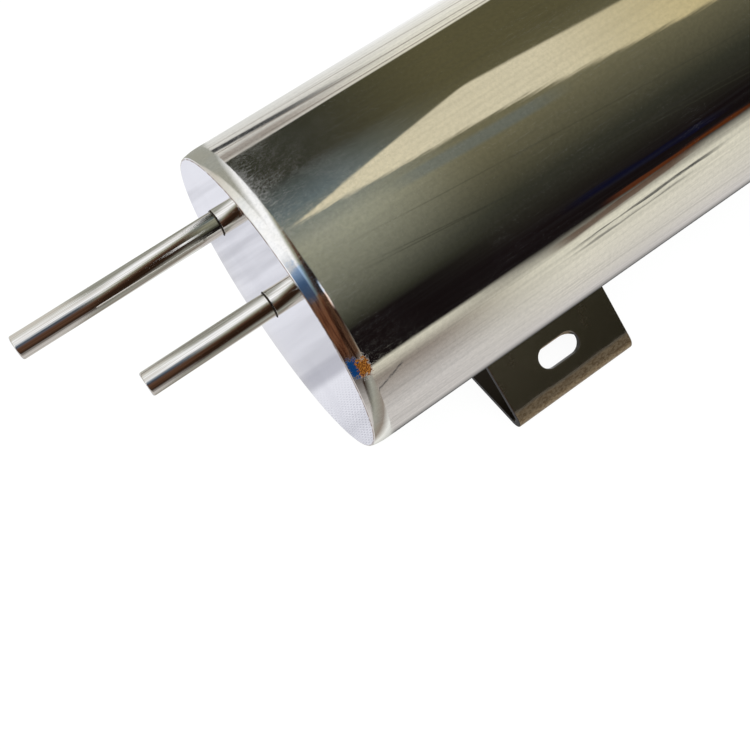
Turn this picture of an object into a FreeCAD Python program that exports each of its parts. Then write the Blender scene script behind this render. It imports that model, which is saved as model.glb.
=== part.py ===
"""Stainless coolant overflow tank with two welded wall brackets.

A rolled shell is closed by two flat discs.  Two plain hose tubes leave the lower disc, each
through a short sleeve; one of them runs on inside as a standpipe.  The upper disc carries a
filler neck with a screw cap.  Two folded brackets, welded along the shell, hold it to a wall.

Row frame: the wall is the plane Z = 0 and the tank lies above it.  X runs along the tank from
the tube end to the cap end.  The origin is the centre of the two wall slots.  Millimetres.
Every body is drawn in its own frame, whose X axis is parallel to the tank's.
"""
import FreeCAD, Part
import Sketcher
import math
import os
import re

DRIVING_DIMENSIONS = {
    "tank_length": 255.0,           # outside, disc face to disc face
    "body_radius": 45.0,
    "wall": 0.8,
    "crown_length": 6.0,            # the polished ends draw in over this length
    "crown_drop": 0.6,              # by this much on the radius
    "disc_thickness": 1.5,
    "disc_edge": 0.3,               # bevel on the discs' outer corner
    "rim_weld_width": 0.8,
    "seam_width": 2.4,
    "seam_height": 0.4,
    "seam_end_gap": 1.0,            # seam's end to the rim weld
    "tube_radius": 3.0,
    "tube_bore_radius": 2.0,
    "tube_end_round": 0.4,
    "tube_circle_radius": 40.9,     # tube centres from the tank's axis
    "coolant_angle": 1.0,           # degrees round the axis from +Z towards -Y
    "overflow_angle": 33.9,
    "coolant_reach": 57.5,          # free length outside the disc
    "overflow_reach": 39.0,
    "coolant_depth": 6.0,           # length inside the tank
    "standpipe_top_gap": 18.0,      # standpipe's mouth to the upper disc's outer face
    "coolant_sleeve_reach": 5.3,
    "overflow_sleeve_reach": 6.7,
    "sleeve_radius": 3.25,
    "sleeve_depth": 3.0,
    "fit_gap": 0.02,                # radial gap where one piece sits in another
    "tube_weld_width": 0.6,
    "tube_weld_height": 0.5,
    "tube_weld_bite": 0.2,          # how deep the bead goes into the tube
    "clip_from_top": 40.0,
    "clip_width": 8.0,
    "clip_sheet": 0.8,
    "clip_foot_reach": 7.0,
    "clip_foot_height": 2.4,
    "bracket_start": 41.0,          # disc face to the bracket's near edge
    "bracket_width": 42.0,
    "bracket_sheet": 2.0,
    "bracket_angle": 42.6,          # between the two legs
    "fold_radius": 3.6,             # outside of the fold
    "face_leg_offset": 3.1,         # tank axis to the face leg's outer face
    "face_leg_gap": 0.1,            # face leg's end to the shell
    "wall_leg_overhang": 8.0,       # wall leg past the tank's axis
    "face_slot_length": 14.0,
    "face_slot_width": 7.0,
    "face_slot_distance": 54.2,     # tank axis to the slot, along the face leg
    "wall_slot_length": 25.0,
    "wall_slot_width": 9.0,
    "wall_slot_distance": 37.25,    # tank axis to the slot, along the wall
    "bracket_weld_leg": 2.0,
    "neck_radius": 15.0,
    "neck_bore_radius": 12.5,
    "neck_height": 16.0,            # above the upper disc
    "neck_depth": 2.5,              # neck inside the tank
    "neck_weld_leg": 2.0,
    "gasket_thickness": 1.5,
    "gasket_inner_radius": 11.5,
    "seal_gap": 0.05,
    "liner_thickness": 1.2,
    "liner_radius": 14.8,
    "cap_radius": 18.5,
    "cap_inner_radius": 15.25,
    "cap_top": 2.2,
    "cap_skirt_gap": 4.0,           # skirt's end to the upper disc
    "cap_edge": 1.0,
    "flute_count": 24,
    "flute_radius": 1.3,
    "flute_depth": 0.55,
    "rivet_radius": 2.0,
    "rivet_head_radius": 4.5,
    "rivet_head_height": 0.9,
    "rivet_clearance": 0.06,
}
CUT_MARGIN = 1.0                    # how far a pocket's sketch stands off the sheet it cuts
SAME_PLACE = 0.01                   # points closer than this are one
NO_LENGTH = 1e-9

doc = FreeCAD.newDocument("CoolantOverflowTank")
sheet = doc.addObject("Spreadsheet::Sheet", "Sheet")
for row, (alias, value) in enumerate(DRIVING_DIMENSIONS.items(), start=1):
    sheet.set(f"A{row}", alias)
    sheet.set(f"B{row}", str(value))
    sheet.setAlias(f"B{row}", alias)
doc.recompute()
ALIAS = re.compile(r"(?<![\w.])(" + "|".join(DRIVING_DIMENSIONS) + r")(?!\w)")
subparts = []


def cells(expression):
    """The same expression with each alias written as a cell of the sheet."""
    return ALIAS.sub(r"Sheet.\1", str(expression))


def evaluate(expression):
    return float(sheet.evalExpression(cells(expression)))


# ---- bodies and sketches -------------------------------------------------------------------

def new_body(name, along="0", radial="0", angle="0"):
    """A body on an axis parallel to the tank's: moved out from it, then turned round it."""
    body = doc.addObject("PartDesign::Body", name)
    body.Label = name
    body.AllowCompound = True
    body.Placement.Rotation = FreeCAD.Rotation(FreeCAD.Vector(1, 0, 0), evaluate(angle))
    body.setExpression(".Placement.Base.x", cells(f"{along} - tank_length / 2"))
    body.setExpression(".Placement.Base.y",
                       cells(f"wall_slot_distance - ({radial}) * sin({angle})"))
    body.setExpression(".Placement.Base.z",
                       cells(f"body_radius + bracket_sheet + ({radial}) * cos({angle})"))
    if evaluate(angle):
        body.setExpression(".Placement.Rotation.Angle", cells(angle))
    subparts.append(body)
    return body


def new_sketch(body, name, role, height="0", tilt="0"):
    """A sketch on one of the body's planes, tilted about that plane's X axis, then raised."""
    drawing = body.newObject("Sketcher::SketchObject", name)
    plane = next(item for item in body.Origin.OriginFeatures if item.Role == role)
    drawing.AttachmentSupport = (plane, [""])
    drawing.MapMode = "FlatFace"
    if evaluate(tilt):
        turned_by = FreeCAD.Rotation(FreeCAD.Vector(1, 0, 0), evaluate(tilt))
        drawing.AttachmentOffset = FreeCAD.Placement(FreeCAD.Vector(), turned_by)
        drawing.setExpression(".AttachmentOffset.Rotation.Angle", cells(tilt))
    drawing.setExpression(".AttachmentOffset.Base.y", cells(f"-({height}) * sin({tilt})"))
    drawing.setExpression(".AttachmentOffset.Base.z", cells(f"({height}) * cos({tilt})"))
    return drawing


def hold(drawing, edge, point, x=None, y=None):
    """Hold a point of an edge at one or two expressions, measured from the sketch's origin."""
    for kind, axis, expression in (("DistanceX", -2, x), ("DistanceY", -1, y)):
        if expression is None:
            continue
        size = evaluate(expression)
        if abs(size) < NO_LENGTH:
            drawing.addConstraint(Sketcher.Constraint("PointOnObject", edge, point, axis))
        else:
            index = drawing.addConstraint(Sketcher.Constraint(kind, -1, 1, edge, point, size))
            drawing.setExpression(f"Constraints[{index}]", cells(expression))


def circle(drawing, x, y, radius):
    centre = FreeCAD.Vector(evaluate(x), evaluate(y), 0)
    edge = drawing.addGeometry(Part.Circle(centre, FreeCAD.Vector(0, 0, 1), evaluate(radius)))
    hold(drawing, edge, 3, x, y)
    index = drawing.addConstraint(Sketcher.Constraint("Radius", edge, evaluate(radius)))
    drawing.setExpression(f"Constraints[{index}]", cells(radius))


def arc_between(start, end, radius):
    """The short arc from start to end; a positive radius bulges to the right of the way."""
    chord = end - start
    half = chord.Length / 2
    reach = math.sqrt(max(radius * radius - half * half, 0))
    left = FreeCAD.Vector(-chord.y, chord.x, 0).normalize()
    side = 1 if radius > 0 else -1
    centre = (start + end) / 2 + left * reach * side
    angles = [math.atan2(point.y - centre.y, point.x - centre.x) for point in (start, end)]
    if side < 0:
        angles.reverse()
    if angles[1] < angles[0]:
        angles[1] += 2 * math.pi
    whole = Part.Circle(centre, FreeCAD.Vector(0, 0, 1), abs(radius))
    return Part.ArcOfCircle(whole, angles[0], angles[1])


def outline(drawing, corners):
    """A closed line through the corners; a third item makes the next edge an arc of that radius.

    A half circle must join two corners that are level or upright.
    """
    places = [FreeCAD.Vector(evaluate(corner[0]), evaluate(corner[1]), 0) for corner in corners]
    chords = [after - place for place, after in zip(places, places[1:] + places[:1])]
    edges = []
    for start, chord, corner in zip(places, chords, corners):
        end = start + chord
        if len(corner) == 2:
            edges.append((drawing.addGeometry(Part.LineSegment(start, end)), 1, 2))
            continue
        radius = evaluate(corner[2])
        edge = drawing.addGeometry(arc_between(start, end, radius))
        edges.append((edge, 1, 2) if radius > 0 else (edge, 2, 1))
    for index, (edge, first, last) in enumerate(edges):
        following = edges[(index + 1) % len(edges)]
        drawing.addConstraint(Sketcher.Constraint("Coincident", edge, last,
                                                  following[0], following[1]))
        hold(drawing, edge, first, corners[index][0], corners[index][1])
    for (edge, _, _), corner, chord in zip(edges, corners, chords):
        if len(corner) == 2:
            continue
        size = abs(evaluate(corner[2]))
        if chord.Length > 2 * size - NO_LENGTH:
            upright = abs(chord.x) < NO_LENGTH
            hold(drawing, edge, 3, **({"x": corner[0]} if upright else {"y": corner[1]}))
        else:
            index = drawing.addConstraint(Sketcher.Constraint("Radius", edge, size))
            drawing.setExpression(f"Constraints[{index}]", cells(f"abs({corner[2]})"))


def slot_outline(drawing, y, length, width):
    """A round-ended slot, centred across the bracket, along the sketch's X axis."""
    middle = "bracket_width / 2"
    straight = f"({length} - {width}) / 2"
    outline(drawing, [
        (f"{middle} - {straight}", f"{y} - {width} / 2"),
        (f"{middle} + {straight}", f"{y} - {width} / 2", f"{width} / 2"),
        (f"{middle} + {straight}", f"{y} + {width} / 2"),
        (f"{middle} - {straight}", f"{y} + {width} / 2", f"{width} / 2"),
    ])


# ---- features ------------------------------------------------------------------------------

def turned(body, corners):
    """Turn an outline, drawn as (along, radius) corners, round the body's X axis."""
    drawing = new_sketch(body, body.Label + "_profile", "XY_Plane")
    outline(drawing, corners)
    feature = body.newObject("PartDesign::Revolution", body.Label + "_turned")
    feature.Profile = drawing
    feature.ReferenceAxis = (drawing, ["H_Axis"])
    feature.Angle = 360
    doc.recompute()
    return feature


def pad(body, drawing, length):
    feature = body.newObject("PartDesign::Pad", drawing.Label + "_pad")
    feature.Profile = drawing
    feature.setExpression("Length", cells(length))
    doc.recompute()
    return feature


def pocket(body, drawing, length=None):
    """Cut through everything both ways, or by a length below the sketch."""
    before = body.Shape.Volume
    feature = body.newObject("PartDesign::Pocket", drawing.Label + "_pocket")
    feature.Profile = drawing
    if length is None:
        feature.Type = "ThroughAll"
        feature.Midplane = True
    else:
        feature.setExpression("Length", cells(length))
    doc.recompute()
    if body.Shape.Volume >= before:
        raise RuntimeError(f"{feature.Label} removed nothing")
    return feature


def fillet(body, radius, wanted):
    """Round the edges of the body's tip that the wanted test picks."""
    base = body.Tip
    names = [f"Edge{index}" for index, edge in enumerate(base.Shape.Edges, start=1)
             if wanted(edge)]
    feature = body.newObject("PartDesign::Fillet", body.Label + "_round" + str(len(body.Group)))
    feature.Base = (base, names)
    feature.setExpression("Radius", cells(radius))
    doc.recompute()
    return feature


def is_ring_at(x, radius):
    """A test for full circles at one place and size."""
    def wanted(edge):
        return (len(edge.Vertexes) == 1 and hasattr(edge.Curve, "Radius")
                and abs(edge.Curve.Radius - radius) < SAME_PLACE
                and abs(edge.Curve.Center.x - x) < SAME_PLACE)
    return wanted


# ---- tank ----------------------------------------------------------------------------------

CROWN_RADIUS = "(crown_length ^ 2 + crown_drop ^ 2) / (2 * crown_drop)"
WELD_END = "(disc_thickness + rim_weld_width)"


def crown_at(along):
    """The outer radius at a distance from the tank's end, inside the crowned stretch."""
    rise = f"(crown_length - ({along}))"
    return (f"(body_radius - {CROWN_RADIUS}"
            f" + sqrt(({CROWN_RADIUS}) ^ 2 - {rise} ^ 2))")


def make_shell():
    inside = "body_radius - wall"
    turned(new_body("tank_shell"), [
        (WELD_END, inside),
        (f"tank_length - {WELD_END}", inside),
        (f"tank_length - {WELD_END}", crown_at(WELD_END), CROWN_RADIUS),
        ("tank_length - crown_length", "body_radius"),
        ("crown_length", "body_radius", CROWN_RADIUS),
        (WELD_END, crown_at(WELD_END)),
    ])


def make_seam():
    """The shell's lengthwise weld, on the inside of the wall side."""
    body = new_body("seam_weld")
    drawing = new_sketch(body, "seam_section", "YZ_Plane", height=f"{WELD_END} + seam_end_gap")
    floor = "-sqrt((body_radius - wall) ^ 2 - (seam_width / 2) ^ 2)"
    outline(drawing, [
        ("-seam_width / 2", floor),
        ("seam_width / 2", floor),
        ("seam_width / 4", f"{floor} + seam_height"),
        ("-seam_width / 4", f"{floor} + seam_height"),
    ])
    pad(body, drawing, f"tank_length - 2 * {WELD_END} - 2 * seam_end_gap")


def disc_profile():
    return [
        ("0", "0"),
        ("disc_thickness", "0"),
        ("disc_thickness", crown_at("disc_thickness")),
        ("disc_edge", crown_at("disc_edge")),
        ("0", f"{crown_at('0')} - disc_edge"),
    ]


def make_bottom_disc():
    body = new_body("bottom_disc")
    turned(body, disc_profile())
    drawing = new_sketch(body, "sleeve_holes", "YZ_Plane")
    for angle in ("coolant_angle", "overflow_angle"):
        circle(drawing, f"-tube_circle_radius * sin({angle})",
               f"tube_circle_radius * cos({angle})", "sleeve_radius + fit_gap")
    pocket(body, drawing)


def make_top_disc():
    body = new_body("top_disc", along="tank_length")
    turned(body, [(f"-({along})", radius) for along, radius in disc_profile()])
    drawing = new_sketch(body, "neck_hole", "YZ_Plane")
    circle(drawing, "0", "0", "neck_radius + fit_gap")
    pocket(body, drawing)


def make_rim_welds():
    inside = "body_radius - wall"
    profile = [
        ("disc_thickness", inside),
        (WELD_END, inside),
        (WELD_END, crown_at(WELD_END)),
        ("disc_thickness", crown_at("disc_thickness")),
    ]
    turned(new_body("bottom_rim_weld"), profile)
    turned(new_body("top_rim_weld", along="tank_length"),
           [(f"-{along}", radius) for along, radius in profile])


# ---- tubes ---------------------------------------------------------------------------------

BITTEN_RADIUS = "tube_radius - tube_weld_bite"


def make_tube(name, angle, reach, sleeve_reach, depth):
    """A plain tube from its free end outside to its mouth inside the tank.

    A shallow ring marks where the weld at the sleeve's mouth bites into it.
    """
    body = new_body(name, along=f"-{reach}", radial="tube_circle_radius", angle=angle)
    length = f"{reach} + {depth}"
    weld_end = f"{reach} - {sleeve_reach}"
    weld_start = f"{weld_end} - tube_weld_width"
    turned(body, [
        ("0", "tube_bore_radius"),
        (length, "tube_bore_radius"),
        (length, "tube_radius"),
        (weld_end, "tube_radius"),
        (weld_end, BITTEN_RADIUS),
        (weld_start, BITTEN_RADIUS),
        (weld_start, "tube_radius"),
        ("0", "tube_radius"),
    ])
    fillet(body, "tube_end_round", is_ring_at(0, evaluate("tube_radius")))


def make_sleeve(name, angle, reach):
    """The short sleeve round a tube, from its mouth through the lower disc."""
    body = new_body(name, along=f"-{reach}", radial="tube_circle_radius", angle=angle)
    length = f"{reach} + sleeve_depth"
    turned(body, [
        ("0", "tube_radius + fit_gap"),
        (length, "tube_radius + fit_gap"),
        (length, "sleeve_radius"),
        ("0", "sleeve_radius"),
    ])


def make_tube_weld(name, angle, reach):
    """The raised bead that joins a tube to its sleeve's mouth."""
    body = new_body(name, along=f"-{reach}", radial="tube_circle_radius", angle=angle)
    turned(body, [
        ("-tube_weld_width", BITTEN_RADIUS),
        ("0", BITTEN_RADIUS),
        ("0", "tube_radius + tube_weld_height"),
        ("-tube_weld_width / 2", "tube_radius + tube_weld_height"),
        ("-tube_weld_width", "tube_radius"),
    ])


def make_clip():
    """A strip bent round the standpipe, with its two feet on the shell's inside."""
    body = new_body("standpipe_clip", along="tank_length - clip_from_top",
                    radial="tube_circle_radius", angle="overflow_angle")
    inner = "(tube_radius + fit_gap)"
    outer = f"({inner} + clip_sheet)"
    drawing = new_sketch(body, "clip_section", "YZ_Plane")
    outline(drawing, [
        ("-clip_foot_reach", "clip_foot_height"),
        ("-clip_foot_reach", "clip_foot_height - clip_sheet"),
        (f"-{outer}", "clip_foot_height - clip_sheet"),
        (f"-{outer}", "0", outer),
        (outer, "0"),
        (outer, "clip_foot_height - clip_sheet"),
        ("clip_foot_reach", "clip_foot_height - clip_sheet"),
        ("clip_foot_reach", "clip_foot_height"),
        (inner, "clip_foot_height"),
        (inner, "0", f"-{inner}"),
        (f"-{inner}", "0"),
        (f"-{inner}", "clip_foot_height"),
    ])
    pad(body, drawing, "clip_width")


# ---- brackets ------------------------------------------------------------------------------

WALL_FACE = "(-body_radius - bracket_sheet)"
LEG_INSIDE = "(face_leg_offset - bracket_sheet)"
FIRST_EDGE = "bracket_start"
SECOND_EDGE = "tank_length - bracket_start - bracket_width"


def leg_point(distance, offset):
    """A point of the bracket's section: down the face leg from the tank, off its radial line."""
    return (f"(-({distance}) * cos(bracket_angle) - ({offset}) * sin(bracket_angle))",
            f"(-({distance}) * sin(bracket_angle) + ({offset}) * cos(bracket_angle))")


def fold_corner(offset, height):
    """Where a face of the face leg, drawn on, meets a face of the wall leg."""
    distance = f"((({offset}) * cos(bracket_angle) - ({height})) / sin(bracket_angle))"
    return leg_point(distance, offset)[0], height


def make_bracket(name, start):
    """One strip folded to an acute angle, with a slot in each leg."""
    body = new_body(name, along=start)
    leg_end = "(body_radius + face_leg_gap)"
    drawing = new_sketch(body, name + "_section", "YZ_Plane")
    outline(drawing, [
        ("wall_leg_overhang", WALL_FACE),
        ("wall_leg_overhang", "-body_radius"),
        fold_corner(LEG_INSIDE, "-body_radius"),
        leg_point(leg_end, LEG_INSIDE),
        leg_point(leg_end, "face_leg_offset"),
        fold_corner("face_leg_offset", WALL_FACE),
    ])
    pad(body, drawing, "bracket_width")
    for radius, offset, height in (("fold_radius", "face_leg_offset", WALL_FACE),
                                   ("fold_radius - bracket_sheet", LEG_INSIDE, "-body_radius")):
        y, z = (evaluate(part) for part in fold_corner(offset, height))

        def is_fold(edge, y=y, z=z):
            return all(math.hypot(point.Point.y - y, point.Point.z - z) < SAME_PLACE
                       for point in edge.Vertexes)
        fillet(body, radius, is_fold)
    wall_slot = new_sketch(body, name + "_wall_slot", "XY_Plane",
                           height=f"-body_radius + {CUT_MARGIN}")
    slot_outline(wall_slot, "-wall_slot_distance", "wall_slot_length", "wall_slot_width")
    pocket(body, wall_slot, f"bracket_sheet + 2 * {CUT_MARGIN}")
    face_slot = new_sketch(body, name + "_face_slot", "XY_Plane", tilt="bracket_angle",
                           height=f"face_leg_offset + {CUT_MARGIN}")
    slot_outline(face_slot, "-face_slot_distance", "face_slot_length", "face_slot_width")
    pocket(body, face_slot, f"bracket_sheet + 2 * {CUT_MARGIN}")


WELD_SURFACE = "(body_radius + fit_gap)"


def reach_at(offset):
    """From the tank's axis to a weld's back on the shell, along a line at an offset from it."""
    return f"sqrt({WELD_SURFACE} ^ 2 - ({offset}) ^ 2)"


def make_bracket_welds(name, start):
    """The three beads of one bracket: inside the face leg, and on both sides of the wall leg."""
    body = new_body(name, along=start)
    drawing = new_sketch(body, name + "_sections", "YZ_Plane")
    below = f"{LEG_INSIDE} - fit_gap"
    root = f"{below} - bracket_weld_leg"
    outline(drawing, [
        leg_point(reach_at(below), below) + (WELD_SURFACE,),
        leg_point(reach_at(root), root),
        leg_point(f"{reach_at(below)} + bracket_weld_leg", below),
    ])
    end = "wall_leg_overhang + fit_gap"
    toe = "wall_leg_overhang + bracket_weld_leg"
    outline(drawing, [
        (end, "-body_radius - bracket_sheet / 2"),
        (toe, f"-{reach_at(toe)}", f"-{WELD_SURFACE}"),
        (end, f"-{reach_at(end)}"),
    ])
    bed = "-body_radius + fit_gap"
    outline(drawing, [
        ("-wall_leg_overhang", bed),
        ("-wall_leg_overhang", f"-{reach_at('wall_leg_overhang')}", f"-{WELD_SURFACE}"),
        (f"-({toe})", f"-{reach_at(toe)}"),
        (f"-({toe})", bed),
    ])
    pad(body, drawing, "bracket_width")


# ---- filler neck and cap -------------------------------------------------------------------

NECK_TOP = "neck_height"
GASKET_FOOT = f"({NECK_TOP} + seal_gap)"
LINER_FOOT = f"({GASKET_FOOT} + gasket_thickness)"
LINER_TOP = f"({LINER_FOOT} + liner_thickness)"
CAP_FLOOR = f"({LINER_TOP} + seal_gap)"
CAP_OUTSIDE = f"({CAP_FLOOR} + cap_top)"


def on_top(name):
    return new_body(name, along="tank_length")


def make_neck():
    body = on_top("filler_neck")
    foot = "(-disc_thickness - neck_depth)"
    turned(body, [
        (foot, "neck_bore_radius"),
        (NECK_TOP, "neck_bore_radius"),
        (NECK_TOP, "neck_radius"),
        (foot, "neck_radius"),
    ])
    turned(on_top("neck_weld"), [
        ("0", "neck_radius + fit_gap"),
        ("neck_weld_leg", "neck_radius + fit_gap"),
        ("0", "neck_radius + neck_weld_leg"),
    ])


def make_seal():
    """The gasket and the liner plate that carries it; they stay still while the cap turns."""
    turned(on_top("cap_gasket"), [
        (GASKET_FOOT, "gasket_inner_radius"),
        (LINER_FOOT, "gasket_inner_radius"),
        (LINER_FOOT, "liner_radius"),
        (GASKET_FOOT, "liner_radius"),
    ])
    turned(on_top("cap_liner"), [
        (LINER_FOOT, "rivet_radius + rivet_clearance"),
        (LINER_TOP, "rivet_radius + rivet_clearance"),
        (LINER_TOP, "liner_radius"),
        (LINER_FOOT, "liner_radius"),
    ])


def make_cap():
    """The screw cap with a fluted grip."""
    body = on_top("cap_shell")
    turned(body, [
        ("cap_skirt_gap", "cap_inner_radius"),
        (CAP_FLOOR, "cap_inner_radius"),
        (CAP_FLOOR, "rivet_radius + fit_gap"),
        (CAP_OUTSIDE, "rivet_radius + fit_gap"),
        (CAP_OUTSIDE, "cap_radius"),
        ("cap_skirt_gap", "cap_radius"),
    ])
    fillet(body, "cap_edge", is_ring_at(evaluate(CAP_OUTSIDE), evaluate("cap_radius")))
    drawing = new_sketch(body, "cap_flute", "YZ_Plane", height=f"{CAP_FLOOR}")
    circle(drawing, "cap_radius + flute_radius - flute_depth", "0", "flute_radius")
    flute = pocket(body, drawing, CAP_OUTSIDE)
    pattern = body.newObject("PartDesign::PolarPattern", "cap_flutes")
    pattern.Originals = [flute]
    pattern.Axis = (drawing, ["N_Axis"])
    pattern.Angle = 360
    pattern.setExpression("Occurrences", cells("flute_count"))
    body.Tip = pattern
    doc.recompute()


def make_rivet():
    """The rivet that holds the liner to the cap and lets it turn."""
    below = f"({LINER_FOOT} - seal_gap)"
    turned(on_top("cap_rivet"), [
        (f"{below} - rivet_head_height", "0"),
        (f"{CAP_OUTSIDE} + rivet_head_height", "0"),
        (f"{CAP_OUTSIDE} + rivet_head_height", "rivet_head_radius - rivet_head_height"),
        (CAP_OUTSIDE, "rivet_head_radius"),
        (CAP_OUTSIDE, "rivet_radius"),
        (below, "rivet_radius"),
        (below, "rivet_head_radius"),
        (f"{below} - rivet_head_height", "rivet_head_radius - rivet_head_height"),
    ])


def check_and_write():
    """Stop if anything failed, then write one file for each sub-part."""
    doc.recompute()
    for item in doc.Objects:
        if "Invalid" in item.State or "Error" in item.State:
            raise RuntimeError(f"{item.Name} failed: {item.State}")
    os.makedirs("parts", exist_ok=True)
    for body in subparts:
        if body.Shape.isNull() or not body.Shape.isValid():
            raise RuntimeError(f"{body.Label} has no valid shape")
        body.Shape.exportStep(f"parts/{body.Label}.step")
        size = body.Shape.BoundBox
        print(f"{body.Label:24s} {len(body.Shape.Solids)} solid(s) {body.Shape.Volume:9.1f} mm3"
              f"  X {size.XMin:7.2f} {size.XMax:7.2f}  Y {size.YMin:7.2f} {size.YMax:7.2f}"
              f"  Z {size.ZMin:7.2f} {size.ZMax:7.2f}")


make_shell()
make_seam()
make_bottom_disc()
make_top_disc()
make_rim_welds()
make_tube("coolant_tube", "coolant_angle", "coolant_reach", "coolant_sleeve_reach",
          "coolant_depth")
make_tube("overflow_tube", "overflow_angle", "overflow_reach", "overflow_sleeve_reach",
          "(tank_length - standpipe_top_gap)")
for which in ("coolant", "overflow"):
    make_sleeve(f"{which}_tube_sleeve", f"{which}_angle", f"{which}_sleeve_reach")
    make_tube_weld(f"{which}_tube_weld", f"{which}_angle", f"{which}_sleeve_reach")
make_clip()
for which, edge in (("lower", FIRST_EDGE), ("upper", SECOND_EDGE)):
    make_bracket(f"{which}_bracket", edge)
    make_bracket_welds(f"{which}_bracket_welds", edge)
make_neck()
make_seal()
make_cap()
make_rivet()
check_and_write()
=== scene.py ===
"""The look of a polished coolant overflow tank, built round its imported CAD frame.

Metres, in the frame's own axes: X along the tank, Z away from the wall, -Y to the brackets' side.
"""
import math

import bmesh
import bpy
from mathutils import Matrix, Vector
from mathutils.geometry import tessellate_polygon


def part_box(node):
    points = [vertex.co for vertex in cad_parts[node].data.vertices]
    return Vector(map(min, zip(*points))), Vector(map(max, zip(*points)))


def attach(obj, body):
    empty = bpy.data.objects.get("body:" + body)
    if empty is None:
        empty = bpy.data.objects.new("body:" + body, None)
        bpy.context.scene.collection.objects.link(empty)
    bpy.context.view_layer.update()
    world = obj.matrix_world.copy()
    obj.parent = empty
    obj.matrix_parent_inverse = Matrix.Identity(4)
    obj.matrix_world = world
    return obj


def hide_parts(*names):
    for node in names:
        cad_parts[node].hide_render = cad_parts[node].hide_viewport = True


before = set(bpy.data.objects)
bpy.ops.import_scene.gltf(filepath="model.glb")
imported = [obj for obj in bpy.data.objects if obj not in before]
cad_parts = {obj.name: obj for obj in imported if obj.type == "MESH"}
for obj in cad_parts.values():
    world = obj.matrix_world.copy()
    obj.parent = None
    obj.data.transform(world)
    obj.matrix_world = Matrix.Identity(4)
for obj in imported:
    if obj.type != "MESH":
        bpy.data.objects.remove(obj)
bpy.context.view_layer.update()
scene = bpy.context.scene
TAU = 2 * math.pi

# ---- places and sizes, all from the frame -----------------------------------------------------


def low(node):
    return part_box(node)[0]


def high(node):
    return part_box(node)[1]


def middle(node):
    return (low(node) + high(node)) / 2


DISC_X = low("bottom_disc").x
TOP_X = high("top_disc").x
AXIS = (middle("bottom_disc").y, middle("bottom_disc").z)
BODY_RADIUS = high("tank_shell").z - AXIS[1]
WALL_Z = low("lower_bracket").z

# ---- node wiring ------------------------------------------------------------------------------


class Value:
    """A node's output that can be used in sums."""

    def __init__(self, net, socket):
        self.net, self.socket = net, socket

    def __add__(self, other):
        return self.net.math("ADD", self, other)

    def __sub__(self, other):
        return self.net.math("SUBTRACT", self, other)

    def __rsub__(self, other):
        return self.net.math("SUBTRACT", other, self)

    def __mul__(self, other):
        return self.net.math("MULTIPLY", self, other)

    def __truediv__(self, other):
        return self.net.math("DIVIDE", self, other)

    __radd__ = __add__
    __rmul__ = __mul__

    def max(self, other):
        return self.net.math("MAXIMUM", self, other)

    def min(self, other):
        return self.net.math("MINIMUM", self, other)

    def abs(self):
        return self.net.math("ABSOLUTE", self)


class Net:
    """The node tree of one material or world."""

    def __init__(self, tree):
        self.tree = tree
        tree.nodes.clear()

    def add(self, kind, inputs, out=0, **settings):
        node = self.tree.nodes.new("ShaderNode" + kind)
        for key, value in settings.items():
            setattr(node, key, value)
        for key, value in inputs.items():
            if isinstance(value, Value):
                self.tree.links.new(value.socket, node.inputs[key])
            else:
                node.inputs[key].default_value = value
        return Value(self, node.outputs[out]) if node.outputs else None

    def math(self, operation, *terms):
        return self.add("Math", dict(enumerate(terms)), operation=operation)

    def ease(self, value, start, end):
        """0 up to start, 1 from end, smooth between; start may be above end."""
        return self.add("MapRange", {"Value": value, "From Min": start, "From Max": end},
                        interpolation_type="SMOOTHSTEP")

    def band(self, value, centre, half, soft):
        """1 within half of the centre, falling to 0 over soft."""
        return self.ease((value - centre).abs(), half + soft, half)

    def mix(self, start, end, share):
        return self.add("Mix", {0: share, 6: start, 7: end}, out=2, data_type="RGBA")

    def ramp(self, value, stops):
        """Colours along a value; stops are (place from 0 to 1, colour)."""
        node = self.tree.nodes.new("ShaderNodeValToRGB")
        self.tree.links.new(value.socket, node.inputs[0])
        elements = node.color_ramp.elements
        while len(elements) < len(stops):
            elements.new(0.5)
        for element, (place, colour) in zip(elements, stops):
            element.position = place
            element.color = colour
        return Value(self, node.outputs[0])

    def noise(self, vector, scale, detail=2.0, roughness=0.5, out=0):
        return self.add("TexNoise", {"Vector": vector, "Scale": scale, "Detail": detail,
                                     "Roughness": roughness}, out=out)

    def pack(self, x, y, z):
        return self.add("CombineXYZ", {0: x, 1: y, 2: z})

    def split(self, vector):
        return [self.add("SeparateXYZ", {0: vector}, out=index) for index in range(3)]

    def turn(self, vector, angle, stretch):
        """The vector turned about Z, then scaled on each axis."""
        return self.add("Mapping", {"Vector": vector, "Rotation": (0, 0, angle),
                                    "Scale": stretch}, vector_type="POINT")


def srgb(red, green, blue):
    """A colour given as 0 to 255 screen values, as the linear colour that nodes take."""
    parts = []
    for part in (red, green, blue):
        part /= 255
        parts.append(part / 12.92 if part <= 0.04045 else ((part + 0.055) / 1.055) ** 2.4)
    return (*parts, 1.0)


# ---- studio: what the polished metal sees -----------------------------------------------------

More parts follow.
